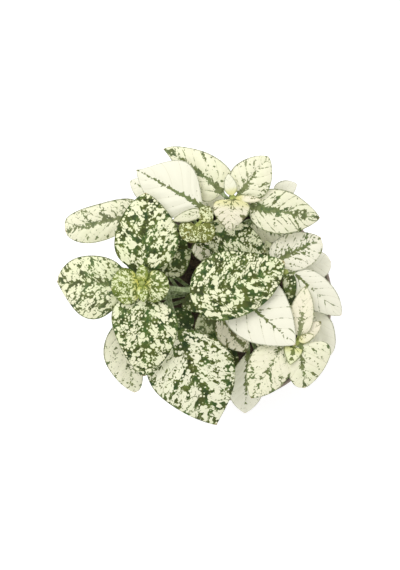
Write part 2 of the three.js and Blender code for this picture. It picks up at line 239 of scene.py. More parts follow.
def make_pot():
    """The profile runs from under the floor up the outside, over the rim and down to the floor."""
    inner_rim = POT_RIM - POT_WALL - 0.6
    profile = [
        (0, 0.4), (POT_BASE - 6, 0.4), (POT_BASE - 5, 0), (POT_BASE - 1.2, 0), (POT_BASE, 1.2),
        (POT_BASE + 0.1, 4.5), (POT_BASE + 0.85, 5.2), (POT_WALL_TOP - 0.35, POT_BAND_FOOT - 2.2),
        (POT_WALL_TOP, POT_BAND_FOOT), (POT_RIM - 0.5, POT_BAND_FOOT + 0.2),
        (POT_RIM, POT_BAND_FOOT + 1.4), (POT_RIM - 0.25, POT_HEIGHT - 4.2),
        (POT_RIM, POT_HEIGHT - 3.6), (POT_RIM, POT_HEIGHT - 0.8), (POT_RIM - 0.6, POT_HEIGHT),
        (inner_rim + 0.5, POT_HEIGHT), (inner_rim, POT_HEIGHT - 0.7),
        (inner_rim, POT_BAND_FOOT + 2.2), (POT_WALL_TOP - POT_WALL, POT_BAND_FOOT - 0.4),
        (POT_BASE - POT_WALL + 0.2, POT_FLOOR + 1.8), (POT_BASE - POT_WALL - 1.6, POT_FLOOR),
        (0, POT_FLOOR),
    ]
    points, faces = turned_rings(rounded(profile, POT_ROUNDING), POT_SIDES)
    pot = mesh_piece("pot_shell", points, faces, plastic_material())
    drill_floor(pot)
    return pot


pot_shell = make_pot()
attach(pot_shell, "root")
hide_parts("pot")

# ---- soil ----
# Moist peat compost, bound by fine roots into one ball that fills the pot. Its top is mounded
# and lumpy, with loose crumbs and fibres lying on it.
SOIL_LEVEL = 78
SOIL_MOUND = 4
SOIL_LUMP = 1.1
SOIL_BOTTOM = 2.3
SOIL_RADIUS = 49.3
SOIL_FOOT_RADIUS = 34.7
SOIL_RINGS = 44
SOIL_SIDES = 132
CRUMBS = 420
CRUMB_LEAST = 0.45
CRUMB_SPREAD = 1.5
FIBRES = 70
FIBRE_STEP = 0.8
FIBRE_RADIUS = 0.14
CRUMB_SEED = 11
PEAT_DARK = (0.016, 0.0105, 0.0065, 1)
PEAT_BROWN = (0.08, 0.05, 0.028, 1)
PEAT_FIBRE = (0.17, 0.105, 0.055, 1)
PEAT_GRAIN_DEPTH = 0.0008


def soil_height(x, y):
    mound = SOIL_MOUND * (1 - (x * x + y * y) / POT_WALL_TOP**2)
    lumps = np.sin(0.31 * x + 1.3) * np.cos(0.27 * y) + 0.6 * np.sin(0.5 * x - 0.43 * y)
    return SOIL_LEVEL + mound + SOIL_LUMP * lumps


def fine_lumps(x, y):
    """Smaller lumps of the loose top layer, up to 0.7 mm high."""
    a = np.sin(1.9 * x + 2.1 * np.sin(0.8 * y)) * np.cos(1.6 * y + 1.7 * np.sin(0.9 * x))
    b = np.sin(3.7 * x - 2.9 * y + 1.3) * np.cos(4.1 * y + 2.2 * x)
    return 0.45 * a + 0.25 * b


def peat_material():
    material, graph, shader = new_material("peat")
    place = graph.add("TexCoord").outputs["Object"]
    clods = graph.noise(place, 330, 8, 0.75)
    grains = graph.add("TexVoronoi", in_Vector=place, in_Scale=900).outputs["Distance"]
    damp = graph.noise(place, 55, 3)
    stops = [(0.36, PEAT_DARK), (0.58, PEAT_BROWN), (0.74, PEAT_FIBRE)]
    graph.dress(shader, Base_Color=graph.ramp(clods, stops),
                Roughness=graph.scaled(damp, 0.5, 0.55, clamp=True),
                Normal=graph.bump(graph.plus(clods, grains), 0.9, PEAT_GRAIN_DEPTH))
    return material


def make_root_ball(material):
    profile = [(0, SOIL_BOTTOM), (SOIL_FOOT_RADIUS, SOIL_BOTTOM)]
    profile += [(SOIL_FOOT_RADIUS + 1.6, SOIL_BOTTOM + 1.6)]
    profile += [(SOIL_RADIUS, SOIL_LEVEL - 2.2), (SOIL_RADIUS - 0.4, POT_HEIGHT)]
    profile += [(SOIL_RADIUS * i / SOIL_RINGS, POT_HEIGHT) for i in range(SOIL_RINGS - 1, -1, -1)]
    points, faces = turned_rings(profile, SOIL_SIDES)
    points = np.array(points, float)
    top = points[:, 2] == POT_HEIGHT
    x, y = points[top, 0], points[top, 1]
    points[top, 2] = soil_height(x, y) + fine_lumps(x, y)
    return mesh_piece("root_ball", points, faces, material)


def make_crumbs(material):
    """Crumbs are dented balls of peat, and fibres are thin bent threads lying on it."""
    rng = np.random.RandomState(CRUMB_SEED)
    ball, skin = turned_rings([(0, -1), (0.75, -0.66), (1, 0), (0.75, 0.66), (0, 1)], 7)
    ball = np.array(ball)
    points, faces = [], []
    for _ in range(CRUMBS):
        radius, turn = (SOIL_RADIUS - 2) * math.sqrt(rng.rand()), 2 * math.pi * rng.rand()
        x, y = radius * math.cos(turn), radius * math.sin(turn)
        size = CRUMB_LEAST + CRUMB_SPREAD * rng.rand() ** 3
        shape = ball * (1 + 0.25 * rng.randn(len(ball), 1)) * rng.uniform(0.7, 1.25, 3) * size
        start = len(points)
        points += list(shape + (x, y, soil_height(x, y) + fine_lumps(x, y) + 0.35 * size))
        faces += [[start + c for c in corners] for corners in skin]
    for _ in range(FIBRES):
        radius, turn = (SOIL_RADIUS - 7) * math.sqrt(rng.rand()), 2 * math.pi * rng.rand()
        heading, bend = 2 * math.pi * rng.rand(), rng.uniform(-0.16, 0.16)
        x, y = radius * math.cos(turn), radius * math.sin(turn)
        start = len(points)
        steps = rng.randint(6, 12)
        for i in range(steps):
            x, y = x + FIBRE_STEP * math.cos(heading), y + FIBRE_STEP * math.sin(heading)
            heading += bend + 0.25 * rng.randn()
            z = soil_height(x, y) + fine_lumps(x, y) + 0.5
            r = FIBRE_RADIUS * (1 - 0.6 * i / steps)
            across = (-math.sin(heading), math.cos(heading))
            points += [(x + r * across[0], y + r * across[1], z), (x, y, z + 1.4 * r)]
            points += [(x - r * across[0], y - r * across[1], z)]
        for i in range(steps - 1):
            a = start + 3 * i
            faces += [[a + j, a + (j + 1) % 3, a + 3 + (j + 1) % 3, a + 3 + j] for j in range(3)]
        faces += [[start + 2, start + 1, start], [start + 3 * steps - 3 + j for j in range(3)]]
    return mesh_piece("peat_crumbs", points, faces, material)


peat = peat_material()
root_ball = make_root_ball(peat)
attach(root_ball, "root")
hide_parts("soil")
peat_crumbs = make_crumbs(peat)
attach(peat_crumbs, "root")

# ---- leafy stems ----
# Each stem is soft and juicy, pale green, four-cornered with rounded edges and a little thicker
# where a pair of leaves grows. Short pale hairs cover it and the stalks. Stem and stalks are one
# growth, so they are one piece, and its foot stands in the soil.
STEM_FOOT_Z = 58
STEM_FOOT_RADIUS = 2.1
STEM_TIP_RADIUS = 1.1
STEM_SIDES = 16
STEM_STEPS = 60
BURIED_SHARE = 0.12
STEM_CORNERS = 0.09
NODE_SWELL = 0.24
NODE_LENGTH = 0.022
STALK_SIDES = 12
STALK_STEP = 2.2
STALK_LEAST_RADIUS = 0.55
STALK_PER_WIDTH = 0.025
STALK_GROOVE = 0.45
MIDRIB_GROOVE = 0.6
BLADE_RISE = 0.45
BLADE_FALL = 0.75
MIDRIB_STOPS = (0.0, 0.06, 0.15, 0.28, 0.42, 0.56, 0.7, 0.83, 0.92)
HAIR_SHARE = 0.18
HAIR_RADIUS = 0.035
HAIR_LENGTHS = (0.5, 1.15)
HAIR_LEAN = 0.35
HAIR_ROOT = 0.05
SKIN_DEPTH = 0.00025
STALK_GREEN = (0.20, 0.255, 0.108, 1)
STALK_PALE = (0.40, 0.47, 0.26, 1)
STALK_DARK = (0.105, 0.145, 0.050, 1)
STALK_YOUNG = (0.38, 0.43, 0.10, 1)
YOUNG_REACH = 6
YOUNG_MOST = 0.9


def bezier(points, t):
    """The place and the unit direction at t on a Bezier curve of three or four points."""
    points = [np.asarray(p, float) for p in points]
    levels = [points]
    while len(levels[-1]) > 1:
        last = levels[-1]
        levels.append([(1 - t) * a + t * b for a, b in zip(last, last[1:])])
    direction = levels[-2][1] - levels[-2][0]
    return levels[-1][0], unit(direction)


def unit(v):
    return v / np.linalg.norm(v)


UP = np.array((0.0, 0.0, 1.0))


class Stem:
    """The curve of one stem, from its foot in the soil to its tip."""

    def __init__(self, foot, tip):
        x, y = foot
        self.foot = np.array((x, y, STEM_FOOT_Z), float)
        self.collar = np.array((x, y, soil_height(x, y) + 2))
        tip = np.array(tip, float)
        outward = tip - self.collar
        rise = outward[2] * UP
        self.bend = [self.collar, self.collar + 0.12 * rise, tip - 0.2 * outward - 0.2 * rise, tip]

    def at(self, height):
        """The place on the stem at a height, found by halving."""
        low, high = 0.0, 1.0
        for _ in range(30):
            middle = (low + high) / 2
            if bezier(self.bend, middle)[0][2] < height:
                low = middle
            else:
                high = middle
        return bezier(self.bend, low)[0], low


class Leaf:
    """One leaf: where its stalk roots, where its blade runs and how it looks. left, right and both
    are the greatest width, rise and fall of a side that differs from the common form."""

    def __init__(self, at, start, tip, wide, look, arch=2.0, sway=0.0, left=None, right=None,
                 both=(), **own):
        self.at, self.wide = at, wide
        common = both or (wide / 2, BLADE_RISE, BLADE_FALL)
        self.left_side, self.right_side = left or common, right or common
        self.start, self.tip = np.array(start, float), np.array(tip, float)
        self.look = {**look, **own}
        heading = self.tip - self.start
        heading[2] = 0
        heading = unit(heading)
        self.left = np.array((-heading[1], heading[0], 0))
        middle = (self.start + self.tip) / 2 + 2 * arch * UP + 2 * sway * self.left
        self.midrib = [self.start, middle, self.tip]
        self.length = np.linalg.norm(self.tip - self.start)

    def root_at(self, root):
        span = np.linalg.norm(self.start - root)
        rise = unit(unit(self.start - root) + 0.5 * UP)
        along = bezier(self.midrib, 0.0)[1]
        self.stalk = [root, root + 0.4 * span * rise, self.start - 0.3 * span * along, self.start]
        self.stalk_radius = STALK_LEAST_RADIUS + STALK_PER_WIDTH * self.wide


def add_tube(piece, rings, frames):
    """Adds a closed tube to the piece's points and faces. Each ring is an array of (side, normal)
    offsets, and each frame holds the place, side and normal that it is set in."""
    points, faces = piece["points"], piece["faces"]
    count = len(rings[0])
    start = len(points)
    for ring, (place, side, normal) in zip(rings, frames):
        points += [place + a * side + b * normal for a, b in ring]
    for i in range(len(rings) - 1):
        for j in range(count):
            k, low, high = (j + 1) % count, start + i * count, start + (i + 1) * count
            faces.append((low + j, low + k, high + k, high + j))
    last = start + (len(rings) - 1) * count
    faces.append(tuple(start + j for j in reversed(range(count))))
    faces.append(tuple(last + j for j in range(count)))


def circle(count, flat=0.0):
    """A ring of (side, normal) offsets; flat presses its upper half down into a shallow groove."""
    angles = np.arange(count) * 2 * math.pi / count
    a, b = np.cos(angles), np.sin(angles)
    b = np.where(b > 0, b * (1 - flat * b**2), b)
    return np.stack([a, b], 1)


def add_stem(piece, stem, nodes):
    """The stem's rod, swollen round each pair of leaves."""
    rings, frames = [], []
    corner = 1 + STEM_CORNERS * np.cos(4 * np.arange(STEM_SIDES) * 2 * math.pi / STEM_SIDES)
    for i in range(STEM_STEPS + 1):
        share = i / STEM_STEPS
        if share < BURIED_SHARE:
            place = stem.foot + (stem.collar - stem.foot) * share / BURIED_SHARE
            along, t = UP, 0.0
        else:
            t = (share - BURIED_SHARE) / (1 - BURIED_SHARE)
            place, along = bezier(stem.bend, t)
        side = unit(np.array((1.0, 0, 0)) - along * along[0])
        radius = STEM_FOOT_RADIUS + (STEM_TIP_RADIUS - STEM_FOOT_RADIUS) * share
        swell = sum(math.exp(-(((t - n) / NODE_LENGTH) ** 2)) for _, n in nodes)
        radius *= 1 + NODE_SWELL * min(swell, 1.0)
        rings.append(circle(STEM_SIDES) * corner[:, None] * radius)
        frames.append((place, side, np.cross(along, side)))
    add_tube(piece, rings, frames)


def leaf_frame(leaf, t):
    """Place, direction, left side and upper normal at a share t of the midrib."""
    place, along = bezier(leaf.midrib, t)
    side = unit(leaf.left - along * leaf.left.dot(along))
    return place, along, side, np.cross(along, side)


def add_stalk(piece, leaf):
    """The stalk with its groove, running on as the midrib under the blade to near the tip."""
    rings, frames = [], []
    steps = max(5, int(np.linalg.norm(leaf.start - leaf.stalk[0]) / STALK_STEP))
    radius = leaf.stalk_radius
    _, _, blade_side, _ = leaf_frame(leaf, 0.0)
    for i in range(steps):
        t = i / steps
        place, along = bezier(leaf.stalk, t)
        side = unit(blade_side - along * blade_side.dot(along))
        thick = radius * (1.25 - 0.45 * min(1, 4 * t) + 0.1 * t)
        rings.append(circle(STALK_SIDES, STALK_GROOVE) * thick)
        frames.append((place, side, np.cross(along, side)))
    for t in MIDRIB_STOPS:
        place, along, side, normal = leaf_frame(leaf, t)
        thick = radius * (0.86 * (1 - t) ** 0.8 + 0.1)
        drop = thick * (0.25 + 0.45 * min(1, t / 0.15))
        rings.append(circle(STALK_SIDES, MIDRIB_GROOVE) * thick)
        frames.append((place - normal * drop, side, normal))
    add_tube(piece, rings, frames)


def add_hairs(piece, rng):
    """Short pale hairs that stand out from the skin of the tubes made so far."""
    points, faces = piece["points"], piece["faces"]
    for quad in [face for face in faces if len(face) == 4]:
        corner = [points[c] for c in quad]
        across = corner[1] - corner[0]
        along = corner[3] - corner[0]
        normal = np.cross(across, along)
        area = np.linalg.norm(normal)
        if area < 1e-6 or rng.rand() > HAIR_SHARE * area:
            continue
        normal /= area
        a, b = rng.rand(2)
        root = corner[0] + a * across + b * along - HAIR_ROOT * normal
        lean = unit(normal + HAIR_LEAN * rng.randn(3))
        side = unit(np.cross(lean, across))
        turn = np.cross(lean, side)
        length = rng.uniform(*HAIR_LENGTHS)
        start = len(points)
        for k in range(3):
            angle = k * 2 * math.pi / 3
            points.append(root + HAIR_RADIUS * (math.cos(angle) * side + math.sin(angle) * turn))
        points.append(root + length * lean)
        faces += [(start, start + 1, start + 3), (start + 1, start + 2, start + 3)]
        faces += [(start + 2, start, start + 3), (start + 2, start + 1, start)]


def skin_group():
    """The fine cell relief that stems, stalks and blades share: a bumped normal and a mottle."""
    tree = bpy.data.node_groups.new("plant_skin", "ShaderNodeTree")
    for way, name, kind in (("INPUT", "Place", "Vector"), ("INPUT", "Cell size", "Float"),
                            ("INPUT", "Relief", "Float"), ("OUTPUT", "Normal", "Vector"),
                            ("OUTPUT", "Mottle", "Float")):
        tree.interface.new_socket(name, in_out=way, socket_type="NodeSocket" + kind)
    graph = Graph(tree)
    source = tree.nodes.new("NodeGroupInput").outputs
    scale = graph.maths("DIVIDE", 1.0, source["Cell size"])
    cells = graph.add("TexVoronoi", feature="SMOOTH_F1", in_Vector=source["Place"],
                      in_Scale=scale, in_Smoothness=0.6)
    mottle = graph.noise(source["Place"], graph.times(scale, 0.35), 4, 0.6)
    height = graph.scaled(mottle, 0.8, graph.scaled(cells.outputs["Distance"], -1, 1))
    graph.dress(tree.nodes.new("NodeGroupOutput"), Mottle=mottle,
                Normal=graph.bump(height, source["Relief"], SKIN_DEPTH))
    return tree


plant_skin = skin_group()


def stalk_material():
    material, graph, shader = new_material("stalk_skin")
    place = graph.add("TexCoord").outputs["Object"]
    skin = graph.add("Group", node_tree=plant_skin, in_Place=place, in_Cell_size=0.0007,
                     in_Relief=0.5).outputs
    streaks = graph.add("Mapping", in_Vector=place, in_Scale=(1, 1, 0.2)).outputs[0]
    level = graph.scaled(graph.noise(streaks, 900, 3), 0.5, graph.times(skin["Mottle"], 0.5))
    colour = graph.ramp(level, [(0.38, STALK_DARK), (0.5, STALK_GREEN), (0.62, STALK_PALE)])
    # the last millimetres of a stem are young and yellow-green
    youth = graph.add("Attribute", attribute_name="stalk_youth").outputs["Fac"]
    graph.dress(shader, Base_Color=graph.mixed(youth, colour, STALK_YOUNG),
                Roughness=graph.scaled(skin["Mottle"], 0.2, 0.42), Normal=skin["Normal"])
    return material


stalk_skin = stalk_material()

# ---- leaf blades ----
# A blade is a thin oval sheet with a sunken midrib, five or so pairs of side veins that curve
# towards the tip, and a slightly quilted surface between them. It is dark green, splashed with
# cream where the tissue holds no green. The old low leaves are darker, with less cream and a
# painted shade laid over them, and the youngest are yellow-green.
BLADE_HALF_THICKNESS = 0.2
BLADE_LIFT = 0.26
BLADE_DROOP = 0.34
BLADE_ROW = 1.0
BLADE_COLUMN = 1.05
EDGE_WAVE = 0.018
MARGIN_WAVE = 0.035
QUILTING = 0.042
VEIN_GROOVE = 0.25
GROOVE_WIDTH = 0.07
VEIN_RIDGE = 0.16
RIDGE_WIDTH = 0.06
NET_SIZE = 3.6
BITE_SIZE = 1.7
BLOT_SIZE = 2.6
DOT_SIZE = 1.45
BLADE_VALUES = ("place", "rel", "look", "tint", "marks", "base")


def srgb(red, green, blue):
    """A colour as it shows on a screen, from 0 to 255, as the linear colour that shaders take."""
    def linear(c):
        c /= 255
        return c / 12.92 if c <= 0.04045 else ((c + 0.055) / 1.055) ** 2.4
    return (linear(red), linear(green), linear(blue), 1)


WARM_GREENS = [(0.32, srgb(40, 47, 14)), (0.68, srgb(85, 94, 38))]
COLD_GREENS = [(0.32, srgb(27, 49, 18)), (0.68, srgb(70, 99, 44))]
FRESH_TONES = [(0.32, srgb(92, 108, 38)), (0.68, srgb(144, 158, 64))]
CREAM_TONES = [(0.3, srgb(235, 233, 200)), (0.7, srgb(228, 233, 190))]
LEAF_WHITE = srgb(236, 234, 214)
VEIN_TONE_AND_SHADE = srgb(176, 168, 128)
LEAF_HEART = srgb(208, 206, 96)
YOUNG_CREAM = srgb(220, 227, 176)
LEAF_PINK = srgb(244, 229, 210)
LEAF_BROWN = srgb(122, 96, 58)
LEAF_FADED = srgb(160, 166, 126)
LEAF_FRINGE = srgb(118, 132, 60)
DRY_TIP = srgb(188, 150, 92)
LEAF_VEIL = srgb(190, 198, 132)
LEAF_SHADE = srgb(120, 128, 84)
LEAF_UNDER = srgb(178, 186, 142)

# cream: share of the pale patches. young: towards yellow-green and finer. white: towards white.
# pink: towards pink. painted_shade: painted shade, a duller green laid over all of a leaf that
# lies in shade. rib: how far a green band follows the midrib. dashes: how many green marks lie on
# the side veins. heart: how yellow the blade is at its base. brown and faded: how brown and how
# grey its marks are.
PLAIN = dict(young=0.0, pink=0.0, painted_shade=0.0, dashes=0.0, heart=0.0, brown=0.0, faded=0.0)
SPLASHED = {**PLAIN, "cream": 0.5, "white": 0.1, "rib": 0.25}
PALE = {**PLAIN, "cream": 0.8, "white": 0.4, "pink": 0.1, "rib": 0.7, "dashes": 0.4, "faded": 0.2}
WHITE = {**PLAIN, "cream": 1.5, "white": 1.0, "rib": 0.7, "dashes": 0.25}
YOUNG = {**PLAIN, "cream": 0.5, "white": 0.0, "young": 1.0, "rib": 0.0, "heart": 1.0}
SHADED = {**PLAIN, "cream": 0.32, "white": 0.2, "painted_shade": 0.1, "rib": 0.3}


def side_width(side, t):
    """The width of one side at a share t of the length."""
    widest, rise, fall = side
    peak = rise / (rise + fall)
    return widest * t**rise * (1 - t) ** fall / (peak**rise * (1 - peak) ** fall)


def blade_grid(leaf, pairs, rng):
    """The blade's upper and lower grid of points, and what its colour pattern needs at each."""
    widest = max(leaf.left_side[0], leaf.right_side[0])
    rows = max(12, int(leaf.length / BLADE_ROW))
    cols = 2 * max(5, int(widest / BLADE_COLUMN))
    s = np.linspace(0, 1, rows + 1)
    ts = 0.55 * s + 0.45 * (1 - np.cos(math.pi * s)) / 2
    v = np.linspace(1, -1, cols + 1)
    size = abs(v)
    waves = rng.uniform(0, 2 * math.pi, 6)
    offset = np.where(v > 0, 0.0, rng.uniform(0.3, 0.6))
    tops, unders, place, rel = [], [], [], []
    for t in ts:
        centre, along, side, normal = leaf_frame(leaf, t)
        least = 0.9 * leaf.stalk_radius * (1 - t) ** 3 + 0.04
        left_half = max(side_width(leaf.left_side, t), least)
        right_half = max(side_width(leaf.right_side, t), least)
        half = np.where(v > 0, left_half, right_half)
        edge = np.where(v > 0, math.sin(9 * t + waves[0]), math.sin(8 * t + waves[1]))
        reach = v * half * (1 + EDGE_WAVE * edge * size)
        uneven = np.where(v > 0, math.sin(9 * t + waves[4]), math.sin(10 * t + waves[5]))
        phase = pairs * (t + 0.03 * uneven - 0.4 * size**1.1 * (1 - 0.4 * t)) + offset
        vein = np.abs(phase - np.round(phase))
        lift = half * (BLADE_LIFT * size - BLADE_DROOP * size**2)
        swell = 0.5 - 0.5 * np.cos(2 * math.pi * phase)
        ends = math.sin(math.pi * min(1, t * 1.02)) ** 0.5 if t < 0.98 else 0.0
        belly = np.minimum(1, size * 4) * (1 - size**4)
        lift += QUILTING * half * swell * belly * ends
        depth = belly * ends * np.minimum(1, half / 8)
        lift -= VEIN_GROOVE * np.exp(-((vein / GROOVE_WIDTH) ** 2)) * depth
        wave = np.where(v > 0, math.sin(11 * t + waves[2]), math.sin(12 * t + waves[3]))
        lift += MARGIN_WAVE * half * wave * size**3 * ends
        thick = BLADE_HALF_THICKNESS * (1 - 0.6 * size**8) * np.minimum(1, 0.35 + half / 2)
        rib = VEIN_RIDGE * np.exp(-((vein / RIDGE_WIDTH) ** 2)) * depth
        for sign, sheet in ((1, tops), (-1, unders)):
            off = lift + sign * thick - (0 if sign > 0 else rib)
            sheet.append(centre + reach[:, None] * side + off[:, None] * normal)
        place.append(np.stack([np.full(cols + 1, t * leaf.length), reach, 0 * v], 1))
        rel.append(np.stack([np.full(cols + 1, t), (1 - size) * half, phase], 1))
    return np.array(tops), np.array(unders), np.array(place), np.array(rel)


def add_blade(piece, leaf, rng):
    """Adds the blade as a closed thin sheet, with its pattern's values at every point."""
    pairs = 5.5 if leaf.wide > 16 else 4.5 if leaf.wide > 10 else 3.5
    top, under, place, rel = blade_grid(leaf, pairs, rng)
    rows, cols = top.shape[:2]
    start, count = len(piece["points"]), rows * cols
    piece["points"] += list(top.reshape(-1, 3)) + list(under.reshape(-1, 3))
    index = np.arange(count).reshape(rows, cols) + start
    a, b, c, d = index[:-1, :-1], index[:-1, 1:], index[1:, 1:], index[1:, :-1]
    upper = np.stack([a, b, c, d], -1).reshape(-1, 4)
    lower = np.stack([d, c, b, a], -1).reshape(-1, 4) + count
    rim = list(index[:, 0]) + list(index[-1, 1:]) + list(index[-2::-1, -1])
    rim += list(index[0, -2:0:-1])
    edge = [(p, q, q + count, p + count) for p, q in zip(rim, rim[1:] + rim[:1])]
    piece["faces"] += upper.tolist() + lower.tolist() + [[int(i) for i in f][::-1] for f in edge]
    seed = rng.uniform(0, 60)
    place[:, :, 2] = seed
    look = leaf.look
    for beneath in (0.0, 1.0):
        piece["place"] += list(place.reshape(-1, 3))
        piece["rel"] += list(rel.reshape(-1, 3))
        piece["look"] += [(look["cream"], look["young"], look["white"])] * count
        piece["tint"] += [(beneath, look["pink"], look["painted_shade"])] * count
        piece["marks"] += [(look["rib"], look["dashes"], leaf.length / pairs)] * count
        piece["base"] += [(look["heart"], look["brown"], look["faded"])] * count


def blade_material():
    material, graph, shader = new_material("leaf_blade")
    maths, plus, minus, times = graph.maths, graph.plus, graph.minus, graph.times
    scaled, noise, mixed, ramp = graph.scaled, graph.noise, graph.mixed, graph.ramp

    def attribute(name):
        return graph.add("Attribute", attribute_name=name).outputs["Vector"]

    def split(vector):
        return list(graph.add("SeparateXYZ", in_Vector=vector).outputs)

    def joined(x, y, z):
        return graph.add("CombineXYZ", in_X=x, in_Y=y, in_Z=z).outputs[0]

    def step(value, low, high):
        """0 below low and 1 above high, smoothly; the two ends may be the other way round."""
        node = graph.add("MapRange", interpolation_type="SMOOTHSTEP", in_Value=value,
                         in_From_Min=low, in_From_Max=high)
        return node.outputs[0]

    def bell(value, width):
        """1 where the value is 0, falling to nothing within about twice the width."""
        part = maths("DIVIDE", value, width)
        return maths("EXPONENT", times(times(part, part), -1))

    def shifts(scale, detail, roughness=0.5):
        """Three noises of the place, each about 0."""
        return [minus(v, 0.5) for v in split(noise(place, scale, detail, roughness, "Color"))]

    def discs(size, shift, number):
        """Round spots about that many millimetres apart: the distance from each spot's middle,
        and a random value of its own."""
        x, y = scaled(rough_x, shift, along), scaled(rough_y, shift, across)
        spots = graph.add("TexVoronoi", in_Vector=joined(x, y, scaled(seed, 5, number)),
                          in_Scale=maths("DIVIDE", finer, size)).outputs
        return spots["Distance"], split(spots["Color"])[0]

    def layered(colour, *layers):
        """The colour with each (share, colour) laid over it in turn."""
        for share, layer in layers:
            colour = mixed(share, colour, layer)
        return colour

    place = attribute("leaf_place")
    along, across, seed = split(place)
    share, margin, phase = split(attribute("leaf_rel"))
    cream, young, white = split(attribute("leaf_look"))
    under, pink, painted_shade = split(attribute("leaf_tint"))
    rib, dashes, spacing = split(attribute("leaf_marks"))
    heart, brown, faded = split(attribute("leaf_base"))
    off = maths("ABSOLUTE", across)
    vein = maths("PINGPONG", phase, 0.5)
    vein_off = times(vein, spacing)
    finer = scaled(young, 1.5, 1.0)

    # ragged edges: every place is shifted by up to a millimetre by a fine noise
    rough_x, rough_y, rough_z = shifts(0.8, 2, 0.55)

    # cream patches lie along the side veins; there is less cream at the midrib and the margin
    near_rib = times(scaled(share, -1.0, 1.6), scaled(rib, 1.5, 0.7))
    middle = times(bell(off, near_rib), scaled(rib, 0.28, 0.13))
    local = minus(minus(cream, middle), times(bell(margin, 1.0), 0.12))
    local = scaled(minus(noise(place, 0.1, 0), 0.5), 0.2, local)
    warp_x, warp_y, _ = shifts(0.42, 1)
    slanted = scaled(off, -0.7, along)
    wide_x = scaled(rough_x, 1.1, scaled(warp_x, 3.0, slanted))
    wide_y = scaled(rough_y, 1.1, scaled(warp_y, 3.0, across))
    drift = noise(joined(wide_x, times(wide_y, 0.75), seed), times(finer, 0.28), 2, 0.6)
    patches = scaled(drift, 6.0, scaled(local, 2.5, -4.4))

    # a net of thin green lines parts them
    net = graph.add("TexVoronoi", feature="DISTANCE_TO_EDGE",
                    in_Vector=joined(wide_x, times(wide_y, 0.7), seed),
                    in_Scale=maths("DIVIDE", finer, NET_SIZE))
    gap = scaled(rough_z, 0.8, scaled(local, -0.75, 0.58))
    meshes = scaled(net.outputs["Distance"], NET_SIZE, times(gap, -1))

    # round green spots bite into the patches, and small round cream dots lie between them
    distance, own = discs(BITE_SIZE, 1.0, 0.0)
    bite = scaled(own, 0.62, scaled(local, -0.4, 0.02))
    bites = times(minus(distance, bite), BITE_SIZE)
    distance, own = discs(BLOT_SIZE, 1.2, 20.0)
    blot = plus(own, scaled(local, 0.6, -0.78))
    blots = times(minus(blot, distance), BLOT_SIZE)
    distance, own = discs(DOT_SIZE, 0.4, 40.0)
    dot = plus(own, scaled(local, 0.12, -0.48))
    dots = times(minus(dot, distance), DOT_SIZE)
    patches = maths("MINIMUM", maths("MINIMUM", patches, bites), meshes)
    reach = maths("MAXIMUM", maths("MAXIMUM", patches, blots), dots)
    light = step(reach, -0.08, 0.06)
    # the green grows paler right beside a patch
    fringe = times(step(reach, -0.5, -0.05), 0.5)

    # a green band follows the midrib, toothed where the side veins leave it, and fades outwards
    tooth = times(bell(vein, 0.1), minus(1.0, share))
    swings = noise(joined(slanted, times(across, 0.3), seed), 0.5, 1)
    wide = scaled(rough_y, 2.4, scaled(swings, 3.4, -0.5))
    wide = scaled(tooth, 0.9, scaled(share, -1.2, wide))
    wide = times(wide, step(rib, 0.0, 0.6))
    band = step(minus(wide, off), -0.15, 0.12)
    patchy = noise(joined(along, times(across, 0.1), seed), 0.55, 1)
    kept = scaled(patchy, 1.6, scaled(rib, 1.4, -1.0))
    band = times(band, step(minus(kept, share), -0.05, 0.05))

    # green dashes lie on the side veins, each with ragged ends
    number = times(maths("ROUND", phase), 7.3)
    runs = noise(joined(number, across, seed), 0.5, 2)
    strong = scaled(dashes, 0.42, minus(runs, 0.8))
    strong = scaled(bell(off, 4.0), times(dashes, 0.14), strong)
    strong = times(scaled(rough_x, 0.35, strong), 3.4)
    dash = step(minus(strong, vein_off), -0.1, 0.12)
    green_marks = maths("MAXIMUM", times(band, 0.95), times(dash, 0.8))
    light = times(light, minus(1.0, green_marks))

    # a thin green line runs round the margin, fainter and broken into dots on the palest leaves
    broken = step(minus(rough_z, times(white, 0.09)), -0.1, 0.0)
    line = scaled(broken, 0.35, scaled(white, -0.2, 0.55))
    light = times(light, minus(1.0, times(step(margin, 0.75, 0.2), line)))

    # fine green flecks over the pale parts, thickest along the side veins
    x, y = scaled(rough_x, 0.8, along), scaled(rough_y, 0.8, across)
    flecks = graph.add("TexVoronoi", in_Vector=joined(x, y, seed), in_Scale=0.62).outputs
    rare = times(split(flecks["Color"])[2], scaled(bell(vein, 0.07), 0.2, 0.1))
    fleck = step(minus(rare, flecks["Distance"]), -0.05, 0.03)
    light = times(light, scaled(fleck, -0.6, 1.0))

    # the green varies in depth and between warm and cold, and the cream between two tones
    tone, hue, _ = split(noise(place, 0.15, 3, output="Color"))
    green = mixed(step(hue, 0.4, 0.6), ramp(tone, WARM_GREENS), ramp(tone, COLD_GREENS))
    dark_part = layered(mixed(young, green, ramp(tone, FRESH_TONES)), (brown, LEAF_BROWN),
                        (fringe, LEAF_FRINGE), (faded, LEAF_FADED))
    # in the pale parts thin green shows through a little, and the side veins show as dull lines:
    # their own duller tone, with a painted shade in their creases
    heart = times(bell(times(share, plus(along, 1.0)), 1.2), heart)
    veil = times(scaled(rough_z, 0.5, 0.08, clamp=True), minus(1.0, white))
    pale_part = layered(ramp(tone, CREAM_TONES), (white, LEAF_WHITE), (young, YOUNG_CREAM),
                        (pink, LEAF_PINK), (heart, LEAF_HEART), (veil, LEAF_VEIL),
                        (times(bell(vein_off, 0.16), 0.26), VEIN_TONE_AND_SHADE))
